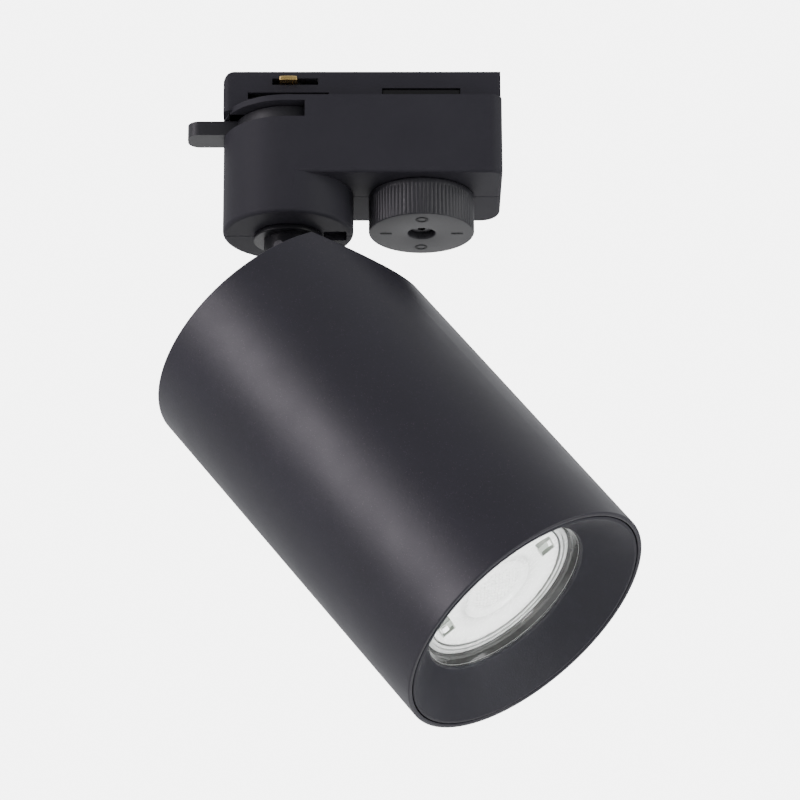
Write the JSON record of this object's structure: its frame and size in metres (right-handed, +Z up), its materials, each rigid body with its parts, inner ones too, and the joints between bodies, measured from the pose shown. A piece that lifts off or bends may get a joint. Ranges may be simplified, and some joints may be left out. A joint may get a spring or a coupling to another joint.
{
  "type": "track spotlight",
  "caption": "Cylindrical GU10 spotlight on a tilting and panning neck, hung from a two-wire lighting-track adapter with a contact lever and a locking knob.",
  "frame": {"origin": "centre of the adapter's flat top face on the pan axis, where the adapter meets the floor of the track", "axes": "+Z up out of the adapter's top face, +X along the track from the lever towards the knob, -Y the front"},
  "size_m": [0.1264, 0.0994, 0.1848],
  "materials": {
    "adapter_plastic": "moulded black plastic, fine spark texture",
    "control_plastic": "moulded black plastic",
    "inner_plastic": "black nylon",
    "brass": "stamped brass",
    "steel": "zinc plated steel",
    "head_paint": "satin black powder coat on an aluminium tube",
    "neck_paint": "satin black powder coat",
    "baffle_black": "matte black anti-glare baffle",
    "lead_sleeve": "silicone sleeved lead",
    "ceramic": "glazed ceramic",
    "lamp_white": "white lamp housing",
    "lens_clear": "clear moulded optic",
    "cover_glass": "smoked gloss rim"
  },
  "bodies": {
    "adapter": {"adapter_front_shell": "adapter_plastic", "adapter_rear_shell": "adapter_plastic", "shell_screws": "steel", "detent_ball": "steel", "detent_spring": "steel"},
    "lever": {"lock_lever": "control_plastic", "contact_rotor": "inner_plastic", "front_contact": "brass", "rear_contact": "brass"},
    "knob": {"lock_knob": "control_plastic", "lock_shaft": "steel", "knob_screw": "steel", "lock_plate": "inner_plastic"},
    "neck": {"neck_tube": "neck_paint", "neck_set_screw": "steel", "swivel_collar": "neck_paint", "spring_washer": "steel", "stop_washer": "steel", "swivel_nut": "steel", "neck_leads": "lead_sleeve"},
    "head": {"housing_tube": "head_paint", "front_baffle": "baffle_black", "retaining_ring": "steel", "tilt_bracket": "steel", "hinge_pin": "steel", "hinge_nut": "steel", "friction_washers": "steel", "holder_strap": "steel", "bracket_screws": "steel", "bracket_nuts": "steel", "holder_screws": "steel", "lamp_holder": "ceramic", "holder_terminals": "brass", "holder_leads": "lead_sleeve", "lamp_cup": "lamp_white", "lamp_pins": "brass", "lamp_board": "lamp_white", "lamp_lens": "lens_clear", "lamp_cover_ring": "cover_glass"}
  },
  "joints": [
    {"name": "lever_turn", "type": "hinge", "parent": "adapter", "child": "lever", "pos_m": [0, 0, -0.015], "axis": [0, 0, 1], "range_deg": [0, 90]},
    {"name": "knob_turn", "type": "hinge", "parent": "adapter", "child": "knob", "pos_m": [0.0361, 0, -0.03], "axis": [0, 0, 1], "range_deg": [0, 90]},
    {"name": "head_pan", "type": "hinge", "parent": "adapter", "child": "neck", "pos_m": [0, 0, -0.0445], "axis": [0, 0, 1], "range_deg": [-149, 187]},
    {"name": "head_tilt", "type": "hinge", "parent": "neck", "child": "head", "pos_m": [0, 0, -0.0781], "axis": [-0.3851, -0.9229, 0], "range_deg": [-38.8, 31.2]}
  ]
}
